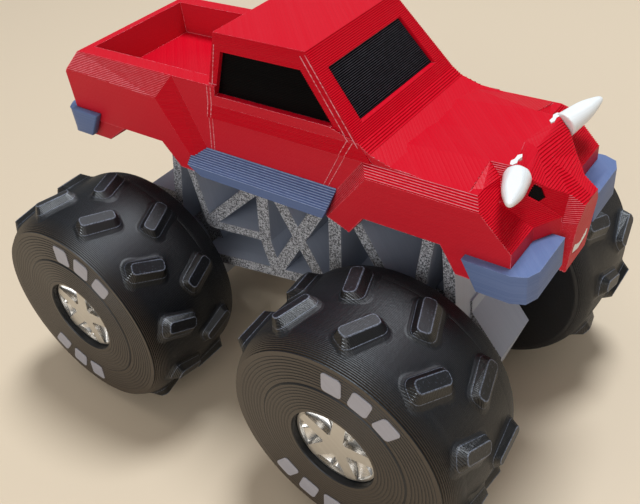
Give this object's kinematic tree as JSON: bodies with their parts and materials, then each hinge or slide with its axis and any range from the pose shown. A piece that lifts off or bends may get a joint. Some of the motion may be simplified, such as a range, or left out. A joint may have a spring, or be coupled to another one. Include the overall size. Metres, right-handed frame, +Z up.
{
  "type": "toy monster truck",
  "caption": "Printed toy monster pickup with tusks, raised on a truss chassis over four big lugged tyres that turn on fixed axles.",
  "frame": {"origin": "on the floor, under the middle of the truck's length and width", "axes": "+X towards the nose, +Y to the truck's left, +Z up"},
  "size_m": [0.083, 0.0562, 0.059],
  "materials": {
    "body": "layered",
    "window": "layered",
    "trim": "layered",
    "ivory": "layered",
    "chassis": "speckled",
    "tyre": "layered",
    "rim": "silver"
  },
  "bodies": {
    "truck": {"body_shell": "body", "windscreen": "window", "rear_window": "window", "side_window_right": "window", "side_window_left": "window", "side_step_right": "trim", "side_step_left": "trim", "front_bumper_right": "trim", "front_bumper_left": "trim", "rear_bumper": "trim", "tusk_right": "ivory", "tusk_left": "ivory", "teeth": "ivory", "eye_right": "window", "eye_left": "window", "chassis": "chassis", "axle_front": "chassis", "axle_rear": "chassis"},
    "wheel_front_right": {"tyre_front_right": "tyre", "rim_front_right": "rim"},
    "wheel_front_left": {"tyre_front_left": "tyre", "rim_front_left": "rim"},
    "wheel_rear_right": {"tyre_rear_right": "tyre", "rim_rear_right": "rim"},
    "wheel_rear_left": {"tyre_rear_left": "tyre", "rim_rear_left": "rim"}
  },
  "joints": [
    {"name": "spin_front_right", "type": "hinge", "parent": "truck", "child": "wheel_front_right", "pos_m": [0.02329, -0.0193, 0.01785], "axis": [0, 1, 0], "continuous": true},
    {"name": "spin_front_left", "type": "hinge", "parent": "truck", "child": "wheel_front_left", "pos_m": [0.02329, 0.0193, 0.01785], "axis": [0, 1, 0], "continuous": true},
    {"name": "spin_rear_right", "type": "hinge", "parent": "truck", "child": "wheel_rear_right", "pos_m": [-0.02351, -0.0193, 0.01785], "axis": [0, 1, 0], "continuous": true},
    {"name": "spin_rear_left", "type": "hinge", "parent": "truck", "child": "wheel_rear_left", "pos_m": [-0.02351, 0.0193, 0.01785], "axis": [0, 1, 0], "continuous": true}
  ]
}
